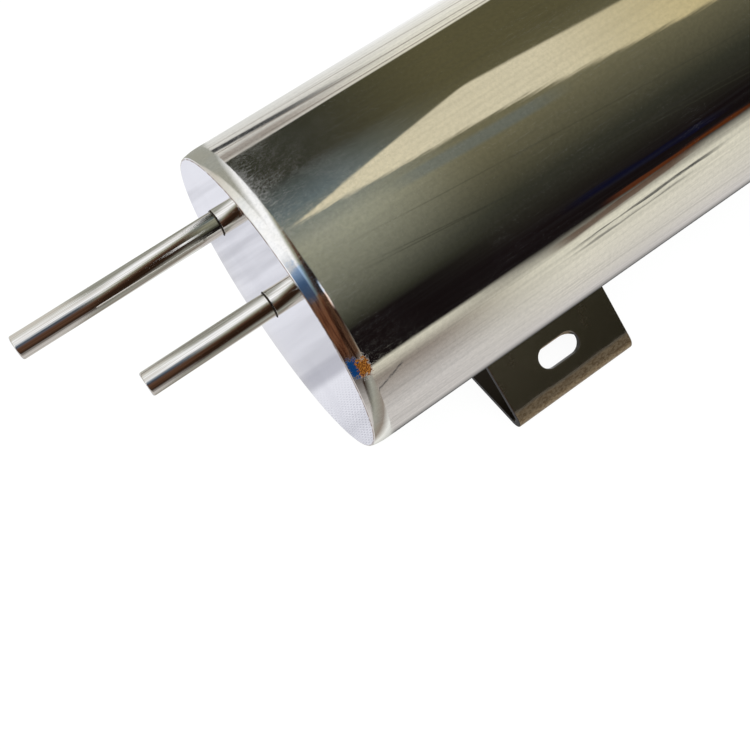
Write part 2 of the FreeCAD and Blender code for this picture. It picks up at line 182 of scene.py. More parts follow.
# Plain things round the tank, as screen colours.
WINDOW, SHEET, DULL_SHEET = (250, 250, 250), (230, 230, 225), (200, 195, 185)
ROOM, OLIVE_ROOM, HAZE = (50, 50, 40), (85, 80, 55), (95, 105, 105)
WALL, FAR_WALL, GREY_WALL = (150, 150, 130), (110, 105, 80), (155, 155, 145)
WOOD, DARK_WOOD, BLACK = (85, 60, 45), (45, 30, 20), (20, 15, 15)
TABLE, TABLE_EDGE, TABLE_SHADE = (200, 195, 190), (220, 215, 195), (140, 130, 120)
GAP = (60, 60, 60)
BOARD, BOARD_END, BLUE_SHADE, RUST, NAVY = (
    (210, 200, 170), (190, 175, 130), (80, 95, 110), (90, 45, 20), (10, 15, 40))
CLOTH, CLOTH_FOLD_AND_SHADOW, CLOTH_THREAD = (225, 225, 230), (195, 195, 200), (140, 140, 150)

# Where they stand, by turn about the tank's axis in degrees from straight up towards the
# brackets' side: back past the tube end, square on to the tank, next to it, and far along it.
SURROUND_BEHIND = [
    (-180, TABLE), (-120, SHEET), (-95, DULL_SHEET), (-70, DULL_SHEET), (-40, SHEET),
    (-15, WINDOW), (10, WINDOW), (32, BLUE_SHADE), (55, WOOD), (75, WOOD), (100, DARK_WOOD),
    (140, TABLE), (180, TABLE),
]
SURROUND_BESIDE = [
    (-180, TABLE_SHADE), (-150, SHEET), (-100, GREY_WALL), (-45, GREY_WALL), (-15, WINDOW),
    (10, WINDOW), (30, WALL), (45, WOOD), (65, DARK_WOOD), (105, DARK_WOOD),
    (140, GREY_WALL), (180, TABLE_SHADE),
]
SURROUND_NEAR = [
    (-180, TABLE), (-160, GAP), (-138, SHEET), (-73, DULL_SHEET), (-72, ROOM), (-35, ROOM),
    (-10, HAZE), (15, WALL), (70, ROOM), (75, BLACK), (103, BLACK), (105, TABLE_EDGE),
    (116, TABLE_SHADE), (145, TABLE), (180, TABLE),
]
SURROUND_FAR = [
    (-180, TABLE), (-160, GAP), (-138, WINDOW), (-73, TABLE_EDGE), (-72, OLIVE_ROOM),
    (-30, OLIVE_ROOM), (15, FAR_WALL), (60, ROOM), (88, BLACK), (103, BLACK),
    (115, TABLE_EDGE), (180, TABLE),
]
METAL = (0.90, 0.89, 0.87)          # what the polished steel gives back of each colour
WHITE = srgb(254, 254, 254)


def through_metal(colour):
    """The colour that a surrounding needs so that the steel shows the given screen colour."""
    linear = srgb(*colour)
    return (*(part / metal for part, metal in zip(linear, METAL)), 1.0)


def make_world():
    """Plain white studio for the eye; soft sheets, a board and a dark room in the reflections."""
    world = bpy.data.worlds.new("studio")
    scene.world = world
    world.use_nodes = True
    world.cycles.sampling_method = "NONE"
    net = Net(world.node_tree)
    direction = net.add("TexCoord", {}, out="Generated")
    x, y, z = net.split(direction)
    along = net.math("ARCSINE", x) * (360 / TAU)
    about = net.math("ARCTAN2", y * -1.0, z) * (360 / TAU)
    # slow waves, so that no edge in a reflection is ruled
    wave = net.noise(net.pack(along * 0.06, about * 0.05, 0.0), 1.0, 2.0) - 0.5
    about_waved = about + wave * 1.6

    def surround(stops, turned):
        place = net.math("WRAP", (turned + 180.0) / 360.0, 1.0, 0.0)
        return net.ramp(place, [((turn + 180) / 360, through_metal(colour))
                                for turn, colour in stops])

    near = surround(SURROUND_NEAR, about_waved)
    far = surround(SURROUND_FAR, about_waved)
    beside = surround(SURROUND_BESIDE, about_waved + along * 4.6)
    behind = surround(SURROUND_BEHIND, about_waved)
    colour = net.mix(near, far, net.ease(along, 14.0, 24.0))

    # a pale board that shows as a long wedge
    def inside(start, end, soft, shift=0.0):
        """1 to the left of the way from start to end, both (along, about)."""
        run = (end[0] - start[0], end[1] - start[1])
        size = math.hypot(*run)
        side = ((about_waved - start[1]) * run[0] - (along - start[0]) * run[1]) / size
        return net.ease(side + shift, -soft, soft)

    tip, top, shoulder, foot, knee = (12, -1), (24, -20), (36, -8), (38, 26), (26, 9)
    upper = inside(tip, top, 0.5) * inside(top, shoulder, 0.9) * inside(shoulder, foot, 1.5)
    frayed = (net.noise(net.pack(along * 0.5, about * 0.9, 12.0), 1.0, 3.0, 0.7) - 0.5) * 5.0
    lower = inside(knee, tip, 1.0, frayed).max(inside(foot, knee, 1.0, frayed))
    board = net.mix(through_metal(BOARD), through_metal(BOARD_END),
                    net.ease(along, 26.0, 38.0))
    # the board's lower side is frayed by a blue-grey streak
    beneath = (net.band(about_waved - (along - 24.0) * 0.6, 16.5, 2.0, 3.2)
               * net.band(along, 23.0, 3.0, 3.5))
    colour = net.mix(colour, through_metal(HAZE), beneath * 0.5)
    colour = net.mix(colour, board, upper * lower)
    # thin dark seams across the dim room
    for turned, slope, share in ((54.0, -1.3, 0.6), (53.0, -1.6, 0.6), (33.0, -1.1, 0.4)):
        seam = net.band(about_waved + (along - 20.0) * slope, turned, 0.10, 0.42)
        colour = net.mix(colour, through_metal(ROOM),
                         seam * net.ease(along, 12.0, 18.0) * share)

    # creases in the white sheet behind, and a dark smear low on the bracket side
    crease = net.band(about - (along - 12.0) * 1.05, -92.5, 1.6, 3.2) * net.ease(along, 22, 13)
    colour = net.mix(colour, through_metal(GAP), crease)
    for turned, slope, share in ((-84.0, 0.4, 0.9), (-98.0, 0.6, 0.8), (-76.0, 0.1, 0.9)):
        line = net.band(about_waved - (along - 20.0) * slope, turned, 0.15, 0.75)
        colour = net.mix(colour, through_metal(TABLE_SHADE),
                         line * net.ease(along, 36.0, 24.0) * share)
    fold = net.band(about, -78.5, 2.0, 4.0) * net.ease(along, 20, 13)
    colour = net.mix(colour, through_metal(TABLE_SHADE), fold * 0.8)
    ragged = net.noise(net.pack(along * 0.28, about * 0.75, 1.0), 1.0, 3.0, 0.65)
    for turned, slope, half, soft, middle_along, reach, tone, share in (
            (107, -0.5, 1.5, 2.0, 28, 3, WOOD, 0.8),
            (102, 0.0, 0.5, 2.0, 32, 3, RUST, 0.8),
            (91, 0.5, 1.0, 2.5, 30, 3, NAVY, 0.6),
            (118, -0.2, 0.5, 1.0, 29, 3, GAP, 0.9),
            (123, -0.2, 0.2, 1.0, 28, 2, GAP, 0.6)):
        mark = (net.band(about + (ragged - 0.5) * 6.0 - (along - 30.0) * slope, turned, half, soft)
                * net.band(along, middle_along, reach, 2.5))
        colour = net.mix(colour, through_metal(tone), mark * share)
    hair = (net.band(about + (along - 11.0) * 4.0, 123.0, 0.3, 0.9)
            * net.band(along, 11.5, 1.2, 0.5))
    colour = net.mix(colour, through_metal(GAP), hair * 0.8)

    # faint streaks that run along the tank, strongest on the pale table
    streak = net.noise(net.pack(along * 0.05, about * 0.42, 3.0), 1.0, 4.0, 0.62)
    pale = net.ease(about, 104.0, 110.0).max(net.ease(about, -70.0, -76.0))
    shade = net.ease(streak, 0.56, 0.34) * (pale * 0.10 + 0.10)
    colour = net.mix(colour, through_metal(GAP), shade)
    thin = net.noise(net.pack(along * 0.07, about * 1.7, 8.0), 1.0, 2.0, 0.5)
    colour = net.mix(colour, through_metal(GAP),
                     net.ease(thin, 0.62, 0.74) * pale * 0.26)

    # square on to the tank the room opens out to a bright window over dark wood
    torn = net.noise(net.pack(along * 0.35, about * 0.16, 5.0), 1.0, 3.0, 0.6) - 0.5
    beside = net.mix(beside, through_metal(WINDOW),
                     net.ease(along + torn * 2.0, 7.2, 7.9) * net.band(about, 46.0, 5.0, 7.0))
    beside = net.mix(beside, behind, net.ease(along, -1.5, -4.0))
    colour = net.mix(colour, beside, net.ease(along + torn * 0.5, 10.3, 9.8))
    # towards the tube end there is only white cloth on the table, with its weave
    cloth_x = x / z.min(-0.05)
    cloth_y = y / (z.min(-0.05) * -1.0)
    cloth_far = net.noise(net.pack(cloth_x * 2.2, cloth_y * 14.0, 0.0), 1.0, 4.0, 0.6)
    threads = (net.math("SINE", (cloth_x * 1.0 + cloth_y * 0.22) * 1500.0)
               * net.math("SINE", (cloth_y - cloth_x * 0.15) * 1150.0))
    cloth = net.mix(through_metal(CLOTH_FOLD_AND_SHADOW), through_metal(CLOTH),
                    net.ease(cloth_far, 0.36, 0.60))
    # painted shadow: a band of the cloth, cloth_y 0.60 to 0.67, is darkened as the shadow of the
    # tank and its tubes; elsewhere this darker tone is the cloth's uneven tone
    cloth = net.mix(cloth, through_metal(CLOTH_FOLD_AND_SHADOW),
                    net.ease(cloth_y, 0.71, 0.67) * net.ease(cloth_y, 0.58, 0.60) * 0.4)
    cloth = net.mix(cloth, through_metal(CLOTH_THREAD),
                    net.band(cloth_y + (cloth_far - 0.5) * 0.02, 0.60, 0.004, 0.013) * 0.5)
    cloth = net.mix(cloth, through_metal(CLOTH_THREAD),
                    net.ease(threads, 0.0, 0.6)
                    * (net.ease(cloth_y, 0.60, 0.52) * 0.62 + 0.14))
    colour = net.mix(colour, cloth, net.ease(along, -6.0, -8.0) * net.ease(z, -0.25, -0.45)
                     * net.ease(y, 0.12, 0.28))

    # the eye and the rubber see a plain white studio
    glossy = net.add("LightPath", {}, out="Is Glossy Ray")
    seen = net.add("LightPath", {}, out="Is Camera Ray")
    plain = net.mix((1.05, 1.06, 1.055, 1.0), WHITE, seen)
    shown = net.mix(plain, colour, glossy * (1.0 - seen))
    background = net.add("Background", {"Color": shown, "Strength": 1.0})
    net.add("OutputWorld", {"Surface": background})


FLOOR_HALF, FLOOR_DROP = 4.0, 0.0002         # half its width, and how far below the brackets


def make_floor():
    corners = [(across * FLOOR_HALF, back * FLOOR_HALF, 0)
               for across, back in ((-1, -1), (1, -1), (1, 1), (-1, 1))]
    mesh = bpy.data.meshes.new("floor")
    mesh.from_pydata(corners, [], [(0, 1, 2, 3)])
    floor = bpy.data.objects.new("floor", mesh)
    floor.location.z = WALL_Z - FLOOR_DROP
    scene.collection.objects.link(floor)
    floor.visible_glossy = False
    material = bpy.data.materials.new("floor_pale")
    material.use_nodes = True
    net = Net(material.node_tree)
    grain = net.noise(net.add("TexCoord", {}, out="Object"), 40.0, 3.0)
    tone = net.mix((0.08, 0.085, 0.083, 1), (0.10, 0.105, 0.103, 1), grain)
    shader = net.add("BsdfPrincipled", {"Base Color": tone, "Roughness": 0.9,
                                        "Specular IOR Level": 0.0,
                                        "Emission Color": WHITE, "Emission Strength": 0.95})
    net.add("OutputMaterial", {"Surface": shader})
    mesh.materials.append(material)


SOFT_BOX_SIZE, SOFT_BOX_WATTS, SOFT_BOX_PLACE = (1.2, 0.9), 6.0, (0.05, -0.35, 1.3)


def make_lights():
    """One broad soft light overhead; it lights the floor and the rubber, not the mirrors."""
    data = bpy.data.lights.new("soft_box", "AREA")
    data.shape = "RECTANGLE"
    data.size, data.size_y = SOFT_BOX_SIZE
    data.energy = SOFT_BOX_WATTS
    light = bpy.data.objects.new("soft_box", data)
    light.location = SOFT_BOX_PLACE
    light.rotation_euler = (Vector((0, 0, 0)) - light.location).to_track_quat("-Z", "Y").to_euler()
    light.visible_glossy = False
    scene.collection.objects.link(light)


CAMERA_LENS, CAMERA_SENSOR = 47.95, 36.0
CAMERA_HEADING, CAMERA_DIVE, CAMERA_ROLL = -21.9, 58.94, -15.46      # degrees
CAMERA_FROM_DISC = (-0.03929, -0.15311, 0.21334)                    # from the disc's centre


def make_camera():
    """At the chosen viewing angle, placed from the lower disc's centre."""
    data = bpy.data.cameras.new("camera")
    data.lens, data.sensor_width = CAMERA_LENS, CAMERA_SENSOR
    data.clip_start = 0.01
    camera = bpy.data.objects.new("camera", data)
    turn = (Matrix.Rotation(math.radians(CAMERA_HEADING), 4, "Z")
            @ Matrix.Rotation(math.radians(90 - CAMERA_DIVE), 4, "X")
            @ Matrix.Rotation(math.radians(CAMERA_ROLL), 4, "Z"))
    place = Vector((DISC_X, *AXIS)) + Vector(CAMERA_FROM_DISC)
    camera.matrix_world = Matrix.Translation(place) @ turn
    scene.collection.objects.link(camera)
    scene.camera = camera


# ---- materials --------------------------------------------------------------------------------


def new_material(name):
    material = bpy.data.materials.new(name)
    material.use_nodes = True
    return material, Net(material.node_tree)


def around(net, axis):
    """(along X, turn about the axis in radians, radius) from the piece's own coordinates."""
    x, y, z = net.split(net.add("TexCoord", {}, out="Object"))
    out_y, up_z = y - axis[0], z - axis[1]
    radius = net.math("SQRT", out_y * out_y + up_z * up_z)
    return x, net.math("ARCTAN2", out_y * -1.0, up_z), radius


def scratches(net, vector, angle, length, width, share):
    """Short thin lines at one angle: 1 on a scratch.  Length and width are in metres."""
    field = net.noise(net.turn(vector, angle, (1 / length, 1 / width, 1.0)), 1.0, 1.0)
    return net.ease(field, share, share + 0.05)


def finish_metal(net, colour, roughness, height, depth, stain=0.0):
    """Bare metal; a stain from 0 to 1 makes it dull, as oxide from the welding does."""
    normal = net.add("Bump", {"Strength": 1.0, "Distance": depth, "Height": height})
    shader = net.add("BsdfPrincipled", {
        "Base Color": colour, "Metallic": 1.0 - stain, "Roughness": roughness,
        "Specular IOR Level": 0.3, "Normal": normal})
    net.add("OutputMaterial", {"Surface": shader})


def polished_shell():
    """Mirror-polished sheet: fine random scratches, slow waves, and heat tint near the ends."""
    material, net = new_material("polished_steel")
    x, turn, _ = around(net, AXIS)
    flat = net.pack(x, turn * BODY_RADIUS, 0.0)
    from_end = (x - DISC_X).min(TOP_X - x)
    near_end = net.ease(from_end, 0.034, 0.006)

    fine = scratches(net, flat, 0.5, 0.0035, 0.00009, 0.66)
    for angle, length, width, share in ((-0.9, 0.0028, 0.00008, 0.66),
                                        (1.5, 0.004, 0.00010, 0.67),
                                        (2.4, 0.003, 0.00008, 0.67)):
        fine = fine.max(scratches(net, flat, angle, length, width, share))
    long = scratches(net, flat, 0.12, 0.026, 0.00016, 0.715)
    patchy = net.ease(net.noise(flat, 45.0, 2.0), 0.46, 0.70)
    marks = (fine * patchy * 0.6).max(long * 0.5).max(fine * near_end)
    hairs = scratches(net, flat, 0.9, 0.014, 0.00007, 0.68)
    hairs = hairs.max(scratches(net, flat, -0.35, 0.018, 0.00007, 0.69))
    hairs = hairs * net.ease(net.noise(flat, 26.0, 2.0), 0.44, 0.62)
    haze = net.noise(flat, 1900.0, 2.0, 0.7)
    cloud = net.ease(net.noise(flat, 30.0, 3.0), 0.35, 0.75)

    # a bruised patch in front of the tubes, where the weld was ground back
    degrees = turn * (360 / TAU)
    bruised = (net.ease(net.noise(flat, 60.0, 4.0, 0.65), 0.38, 0.66)
               * net.ease(from_end, 0.044, 0.012) * net.ease(degrees, 44.0, 20.0))
    roughness = 0.020 + haze * cloud * 0.05 + marks * 0.16 + bruised * haze * 0.10
    waves = (net.noise(net.turn(flat, 0.0, (22.0, 55.0, 1.0)), 1.0, 1.0)
             + near_end * net.noise(flat, 210.0, 2.0) * 0.20)
    height = waves + marks * 0.004 + haze * 0.0010

    # heat tint: straw, rust and blue in patches along the ends' crowns
    edge = net.ease(from_end, 0.0050, 0.0040)
    ragged = (net.noise(flat, 320.0, 3.0, 0.6) - 0.5) * 12.0
    rings = net.noise(net.turn(flat, 0.0, (1400.0, 90.0, 1.0)), 1.0, 2.0, 0.6)
    torn = net.noise(flat, 1300.0, 3.0, 0.65) - 0.5
    upper_blue = net.band(degrees + ragged, 34.0, 3.0, 4.0) * edge
    deep_blue = (net.band(degrees + torn * 9.0, 64.2, 2.8, 1.4)
                 * net.band(from_end + torn * 0.003, 0.0016, 0.0009, 0.0007))
    rust = net.band(degrees + ragged * 0.6, 50.0, 9.0, 4.0) * edge
    orange = (net.band(degrees + torn * 9.0, 65.6, 2.8, 1.2)
              * net.band(from_end + torn * 0.003, 0.0037, 0.0013, 0.0006))
    patches = net.ease(net.noise(flat, 90.0, 2.0), 0.40, 0.62)
    straw = net.ease(from_end, 0.0075, 0.0010) * patches
    tone = net.mix((0.92, 0.91, 0.89, 1), (0.84, 0.835, 0.82, 1), cloud)
    speckle = net.ease(net.noise(flat, 850.0, 3.0, 0.75), 0.36, 0.66)
    tone = net.mix(tone, (0.74, 0.74, 0.73, 1), speckle * 0.5)
    tone = net.mix(tone, (0.86, 0.80, 0.68, 1), straw * 0.35)
    rust_tone = net.mix((0.34, 0.13, 0.05, 1), (0.88, 0.52, 0.30, 1), net.ease(rings, 0.35, 0.6))
    tone = net.mix(tone, rust_tone, rust * 0.9)
    tone = net.mix(tone, (0.32, 0.52, 0.80, 1), upper_blue * 0.8)
    tone = net.mix(tone, (0.015, 0.12, 0.42, 1), deep_blue)
    orange_tone = net.mix((0.11, 0.028, 0.004, 1), (0.48, 0.19, 0.03, 1),
                          net.ease(net.noise(flat, 2600.0, 2.0, 0.6), 0.42, 0.62))
    tone = net.mix(tone, orange_tone, orange)
    stain = (rust * rings * 0.06).max(orange * 0.6).max(deep_blue * 0.25).max(
        bruised * net.ease(haze, 0.40, 0.62) * 0.045).max(hairs * 0.08)
    finish_metal(net, tone, roughness + stain * 0.25, height, 0.00005, stain)
    return material


def polished_disc():
    """Flat polished ends, with a brown line where the rim was welded and dressed."""
    material, net = new_material("end_steel")
    x, turn, radius = around(net, AXIS)
    _, y, z = net.split(net.add("TexCoord", {}, out="Object"))
    flat = net.pack(y, z, x * 0.3)
    marks = scratches(net, flat, 0.4, 0.007, 0.00012, 0.68)
    marks = marks.max(scratches(net, flat, -1.1, 0.005, 0.00010, 0.68))
    haze = net.noise(flat, 1500.0, 2.0, 0.6)
    smudge = net.ease(net.noise(flat, 38.0, 2.0), 0.48, 0.72)
    roughness = 0.012 + haze * 0.018 + marks * 0.18 + smudge * 0.02
    waves = net.noise(flat, 30.0, 1.0)
    rim = net.band(radius, BODY_RADIUS - 0.00086, 0.00008, 0.00016)
    ragged = net.noise(net.pack(turn * 6.0, 0.0, 0.0), 3.0, 3.0)
    tone = net.mix((0.91, 0.90, 0.91, 1), (0.82, 0.81, 0.83, 1), smudge * 0.6)
    tone = net.mix(tone, (0.30, 0.19, 0.12, 1), rim * net.ease(ragged, 0.3, 0.6) * 0.9)
    finish_metal(net, tone, roughness + rim * 0.15, waves + marks * 0.01, 0.000012)
    return material


def drawn_tube(name, axis, mouth_x, grinding):
    """Drawn and polished tube: lengthwise marks, and a ground patch in front of its sleeve."""
    material, net = new_material(name)
    x, turn, _ = around(net, axis)
    flat = net.pack(x, turn * 0.003, 0.0)
    lines = net.noise(net.turn(flat, 0.0, (25.0, 4200.0, 1.0)), 1.0, 3.0, 0.7)
    rings = net.noise(net.turn(flat, 0.0, (5200.0, 90.0, 1.0)), 1.0, 2.0)
    marks = scratches(net, flat, 0.35, 0.004, 0.00008, 0.68)
    ground = (net.band(x, mouth_x - 0.0145, 0.006, 0.006)
              * net.ease(net.noise(flat, 1500.0, 3.0, 0.7), 0.50, 0.60)
              * net.ease(turn, 0.1, -0.7) * grinding)
    near_weld = net.ease(x, mouth_x - 0.016, mouth_x - 0.001)
    waves = (net.noise(net.turn(flat, 0.0, (60.0, 240.0, 1.0)), 1.0, 1.0) * 0.3
             + net.noise(flat, 520.0, 2.0) * near_weld * 0.10 * grinding)
    roughness = 0.035 + lines * 0.06 + marks * 0.15 + ground * 0.22
    height = lines * 0.16 + rings * 0.02 + waves + ground * 0.08 + marks * 0.02
    drawn = net.ease(lines, 0.40, 0.62)
    tone = net.mix((0.90, 0.89, 0.87, 1), (0.60, 0.57, 0.52, 1), drawn)
    tone = net.mix(tone, (0.42, 0.36, 0.27, 1), ground * 0.6)
    finish_metal(net, tone, roughness, height, 0.00004)
    return material


def weld_metal(name, dark=1.0):
    """Weld bead: darker and rougher, with brown, straw and blue heat colours in patches."""
    material, net = new_material(name)
    place = net.add("TexCoord", {}, out="Object")
    patches = net.noise(place, 420.0, 3.0, 0.6)
    fine = net.noise(place, 5200.0, 2.0, 0.6)
    stops = [(0.30, (0.20, 0.13, 0.09)), (0.45, (0.42, 0.36, 0.30)),
             (0.58, (0.50, 0.40, 0.26)), (0.72, (0.18, 0.22, 0.32))]
    tone = net.ramp(patches, [(at, tuple(part * dark for part in colour) + (1,))
                              for at, colour in stops])
    roughness = 0.22 + fine * 0.25
    finish_metal(net, tone, roughness, fine + patches, 0.00004)
    return material


def satin_bracket():
    """Satin stainless strip, darker than the body, with the grain of the sheet along X."""
    material, net = new_material("bracket_steel")
    place = net.add("TexCoord", {}, out="Object")
    x, y, z = net.split(place)
    grain = net.noise(net.pack(x * 30.0, y * 5200.0, z * 5200.0), 1.0, 3.0, 0.65)
    cloud = net.noise(place, 70.0, 3.0)
    marks = scratches(net, net.pack(x, y + z, 0.0), 0.7, 0.006, 0.00014, 0.69)
    stain = net.ease(net.noise(place, 160.0, 3.0, 0.6), 0.5, 0.72)
    tone = net.mix((0.40, 0.355, 0.29, 1), (0.47, 0.42, 0.35, 1), cloud)
    tone = net.mix(tone, (0.27, 0.21, 0.15, 1), stain * 0.35)
    # painted shade: the outside of the fold near the wall is darkened to a mottled brown, standing
    # in for the shadowed table it reflects; the inside faces and the sheared ends are painted
    # near-black as shade
    facing_x, facing_y, _ = net.split(net.add("TexCoord", {}, out="Normal"))
    outside = net.ease(facing_y, -0.2, -0.5)
    # painted shade: this mask darkens the outside of the fold near the wall, as the shadowed table
    # would look in its reflection
    painted_fold_shade = net.ease(z + (cloud - 0.5) * 0.0012, WALL_Z + 0.0080, WALL_Z + 0.0069) * outside
    mottle = net.noise(net.pack(x * 900.0, y * 1500.0, z * 1500.0), 1.0, 3.0, 0.7)
    painted_fold_shade_tone = net.mix((0.17, 0.118, 0.066, 1), (0.29, 0.225, 0.145, 1),
                        net.ease(mottle, 0.36, 0.62))
    tone = net.mix(tone, painted_fold_shade_tone, painted_fold_shade)
    sheared_and_shaded = net.ease(facing_x.abs(), 0.55, 0.85)
    # painted shade: the inside faces are painted near-black, and so are the sheared ends, which
    # are also made rough as cut edges
    dark = sheared_and_shaded.max(1.0 - outside) * 0.96
    tone = net.mix(tone, (0.014, 0.012, 0.010, 1), dark)
    roughness = 0.17 + grain * 0.12 + marks * 0.02 + stain * 0.05 + painted_fold_shade * 0.14 + sheared_and_shaded * 0.25
    finish_metal(net, tone, roughness, grain * 0.5 + marks * 0.3 + cloud, 0.000008, painted_fold_shade * 0.32)
    return material


def turned_steel(name, axis, tone, rough):
    """Turned or pressed stainless: fine rings from the lathe and a few handling marks."""
    material, net = new_material(name)
    x, turn, radius = around(net, axis)
    rings = net.noise(net.pack(x * 6500.0, turn * 1.5, radius * 6500.0), 1.0, 2.0, 0.6)
    flat = net.pack(x, turn * 0.018, radius)
    marks = scratches(net, flat, 0.6, 0.005, 0.00012, 0.68)
    cloud = net.noise(flat, 120.0, 2.0)
    dark = tuple(part * 0.82 for part in tone[:3]) + (1,)
    colour = net.mix(tone, dark, cloud)
    roughness = rough + rings * 0.10 + marks * 0.12
    finish_metal(net, colour, roughness, rings * 0.35 + marks * 0.1 + cloud * 0.6, 0.000012)
    return material


def black_rubber():
    """Moulded rubber: matt, slightly dusty, with a fine grain."""
    material, net = new_material("gasket_rubber")
    place = net.add("TexCoord", {}, out="Object")
    fine = net.noise(place, 4200.0, 3.0, 0.7)
    dust = net.ease(net.noise(place, 300.0, 3.0), 0.45, 0.75)
    tone = net.mix((0.012, 0.012, 0.013, 1), (0.060, 0.058, 0.055, 1), dust * 0.6)
    normal = net.add("Bump", {"Strength": 0.6, "Distance": 0.00003, "Height": fine})
    shader = net.add("BsdfPrincipled", {"Base Color": tone, "Roughness": 0.55 + dust * 0.25,
                                        "Normal": normal})
    net.add("OutputMaterial", {"Surface": shader})
    return material


# ---- mesh building ----------------------------------------------------------------------------


def rounded(corners, steps=5):
    """A closed line with rounded corners; each corner is (x, radius) or (x, radius, round)."""
    points = []
    count = len(corners)
    for index, corner in enumerate(corners):
        here = Vector(corner[:2])
        size = corner[2] if len(corner) > 2 else 0
        if not size:
            points.append(tuple(here))
            continue
        back = Vector(corners[index - 1][:2]) - here
        forth = Vector(corners[(index + 1) % count][:2]) - here
        half = back.angle(forth) / 2
        reach = min(size / math.tan(half), 0.499 * back.length, 0.499 * forth.length)
        size = reach * math.tan(half)
        centre = here + (back.normalized() + forth.normalized()).normalized() * (
            size / math.sin(half))
        start = here + back.normalized() * reach - centre
        end = here + forth.normalized() * reach - centre
        sweep = start.angle_signed(end)
        for step in range(steps + 1):
            turned = start.copy()
            turned.rotate(Matrix.Rotation(-sweep * step / steps, 2))
            points.append(tuple(centre + turned))
    return points


SAME_PLACE = 1e-7                   # points closer than this are one


def finish_mesh(name, bm, material, sharp=30.0):
    bmesh.ops.remove_doubles(bm, verts=bm.verts, dist=SAME_PLACE)
    bmesh.ops.recalc_face_normals(bm, faces=bm.faces)
    mesh = bpy.data.meshes.new(name)
    bm.to_mesh(mesh)
    bm.free()
    mesh.shade_smooth()
    mesh.set_sharp_from_angle(angle=math.radians(sharp))
    mesh.materials.append(material)
    piece = bpy.data.objects.new(name, mesh)
    scene.collection.objects.link(piece)
    return piece


def ring_of(bm, x, radius, axis, count, shape=None):
    """A ring of points about an axis; shape(x, radius, turn) may change each point's radius."""
    if radius < 1e-6:
        return [bm.verts.new((x, axis[0], axis[1]))] * count
    ring = []
    for step in range(count):
        turn = TAU * step / count
        size = shape(x, radius, turn) if shape else radius
        ring.append(bm.verts.new((x, axis[0] - size * math.sin(turn),
                                  axis[1] + size * math.cos(turn))))
    return ring


def bridge(bm, first, second):
    count = len(first)
    for step in range(count):
        corners = [first[step], first[(step + 1) % count],
                   second[(step + 1) % count], second[step]]
        unique = list(dict.fromkeys(corners))
        if len(unique) > 2:
            bm.faces.new(unique)


def lathe(name, outline, axis, material, count=192, shape=None, sharp=30.0):
    """A closed outline of (x, radius) turned about an axis parallel to X."""
    bm = bmesh.new()
    rings = [ring_of(bm, x, radius, axis, count, shape) for x, radius in outline]
    for first, second in zip(rings, rings[1:] + rings[:1]):
        if first[0] is not first[1] or second[0] is not second[1]:
            bridge(bm, first, second)
    return finish_mesh(name, bm, material, sharp)


def plate(name, outline, axis, holes, material, count=384):
    """A turned plate with round holes through it, all parallel to X.

    The outline runs from the first face's edge to the second's; a hole is (y, z, radius).
    """
    bm = bmesh.new()
    bevel = 0.00012
    rims = [ring_of(bm, x, radius, axis, count) for x, radius in outline]
    for first, second in zip(rims, rims[1:]):
        bridge(bm, first, second)
    loops = [[rims[0]], [rims[-1]]]
    first_x, last_x = outline[0][0], outline[-1][0]
    inward = math.copysign(bevel, last_x - first_x)
    for y, z, radius in holes:
        sides = [ring_of(bm, place, size, (y, z), 96) for place, size in
                 ((first_x, radius + bevel), (first_x + inward, radius),
                  (last_x - inward, radius), (last_x, radius + bevel))]
        for first, second in zip(sides, sides[1:]):
            bridge(bm, first, second)
        loops[0].append(sides[0])
        loops[1].append(sides[-1])
    for group in loops:
        points = [vert for loop in group for vert in loop]
        flat = [[Vector((vert.co.y, vert.co.z, 0)) for vert in loop] for loop in group]
        for triangle in tessellate_polygon(flat):
            bm.faces.new([points[index] for index in triangle])
    return finish_mesh(name, bm, material, 12.0)


def place_on(piece, body, slot, *nodes):
    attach(piece, body)
    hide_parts(*nodes)
    return piece


# ---- the tank ---------------------------------------------------------------------------------

CROWN_LENGTH, CROWN_DROP = 0.0048, 0.0006
CROWN_RADIUS = (CROWN_LENGTH ** 2 + CROWN_DROP ** 2) / (2 * CROWN_DROP)
NECK_RADIUS, HOLE_PLAY = 0.015, 0.00004


def crown(from_end):
    """The body's outer radius at a distance from one of its ends."""
    rise = max(CROWN_LENGTH - from_end, 0)
    return BODY_RADIUS - CROWN_RADIUS + math.sqrt(CROWN_RADIUS ** 2 - rise ** 2)


def make_shell(material):
    start, end = low("tank_shell").x, high("tank_shell").x
    wall = 0.0008
    reach, steps, spacing = CROWN_LENGTH * 1.2, 22, 0.010
    places = [start + reach * step / steps for step in range(steps + 1)]
    places += [x for x in (start + spacing + spacing * step for step in range(40))
               if x < end - 0.009]
    places += [end - reach * (steps - step) / steps for step in range(steps + 1)]
    outside = [(x, crown(min(x - DISC_X, TOP_X - x))) for x in places]
    inside = [(end, BODY_RADIUS - wall), (start, BODY_RADIUS - wall)]
    place_on(lathe("shell_polished", outside + inside, AXIS, material, 512),
             "tank", "polished_steel", "tank_shell")


